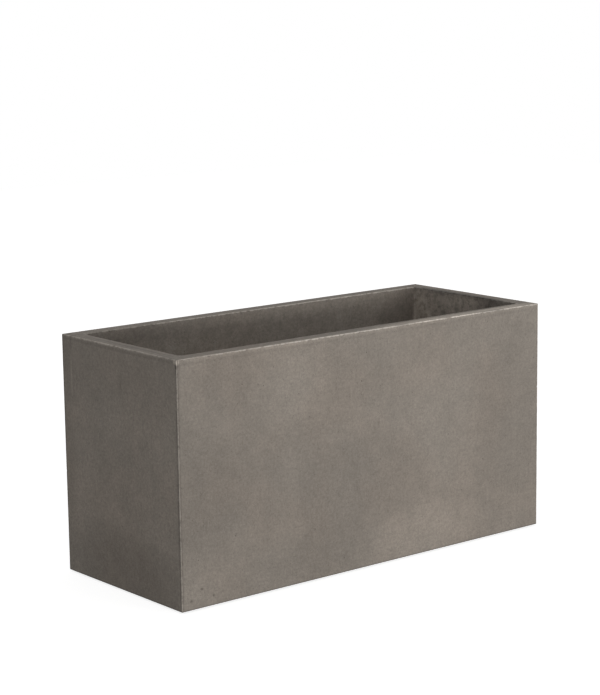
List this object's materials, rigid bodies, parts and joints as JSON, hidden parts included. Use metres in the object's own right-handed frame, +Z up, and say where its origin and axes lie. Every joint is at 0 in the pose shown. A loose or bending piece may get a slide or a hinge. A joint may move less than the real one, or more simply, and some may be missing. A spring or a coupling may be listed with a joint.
{
  "type": "self watering planter",
  "caption": "Rectangular fibre-cement trough planter with a hidden water reservoir, lift-out perforated decks with wick cups, a capped fill tube, a float gauge and a standpipe.",
  "frame": {"origin": "on the ground under the middle of the trough", "axes": "+X along the trough's length towards the fill tube's end, -Y out of the long front face, +Z up"},
  "size_m": [0.98, 0.4, 0.504],
  "materials": {
    "concrete": "matte",
    "tank_plastic": "satin",
    "deck_plastic": "satin",
    "tube_plastic": "satin",
    "rubber": "matte",
    "clear_plastic": "gloss",
    "white_plastic": "satin",
    "float_foam": "matte",
    "flag_plastic": "gloss",
    "pin_steel": "satin"
  },
  "bodies": {
    "planter": {"planter_shell": "concrete", "foot_pads": "rubber", "reservoir_tank": "tank_plastic", "drain_fitting": "tube_plastic", "drain_gasket": "rubber", "drain_washer": "rubber", "drain_nut": "tube_plastic"},
    "overflow": {"overflow_pipe": "tube_plastic", "overflow_seal": "rubber", "overflow_strainer": "tube_plastic"},
    "deck_left": {"deck_left": "deck_plastic", "deck_posts_left": "tube_plastic", "wick_cup_1": "deck_plastic", "wick_cup_2": "deck_plastic"},
    "deck_right": {"deck_right": "deck_plastic", "deck_posts_right": "tube_plastic", "wick_cup_3": "deck_plastic", "wick_cup_4": "deck_plastic", "tube_base": "tube_plastic", "tube_clip": "tube_plastic", "fill_tube": "tube_plastic", "fill_funnel": "tube_plastic", "cap_hinge_pin": "pin_steel", "gauge_tube": "tube_plastic", "gauge_foot": "tube_plastic", "gauge_window": "clear_plastic", "gauge_rings": "white_plastic", "gauge_cap": "tube_plastic"},
    "fill_cap": {"fill_cap": "tube_plastic", "cap_seal": "rubber"},
    "float": {"gauge_float": "float_foam", "gauge_rod": "white_plastic", "gauge_flag": "flag_plastic"}
  },
  "joints": [
    {"name": "overflow_lift", "type": "slide", "parent": "planter", "child": "overflow", "axis": [0, 0, 1], "range_m": [0, 0.012]},
    {"name": "deck_left_lift", "type": "slide", "parent": "planter", "child": "deck_left", "axis": [0, 0, 1], "range_m": [0, 0.48]},
    {"name": "deck_right_lift", "type": "slide", "parent": "planter", "child": "deck_right", "axis": [0, 0, 1], "range_m": [0, 0.48]},
    {"name": "fill_cap_hinge", "type": "hinge", "parent": "deck_right", "child": "fill_cap", "pos_m": [0.405, -0.081, 0.464], "axis": [-1, 0, 0], "range_deg": [0, 110]},
    {"name": "float_rise", "type": "slide", "parent": "deck_right", "child": "float", "axis": [0, 0, 1], "range_m": [0, 0.055]}
  ]
}
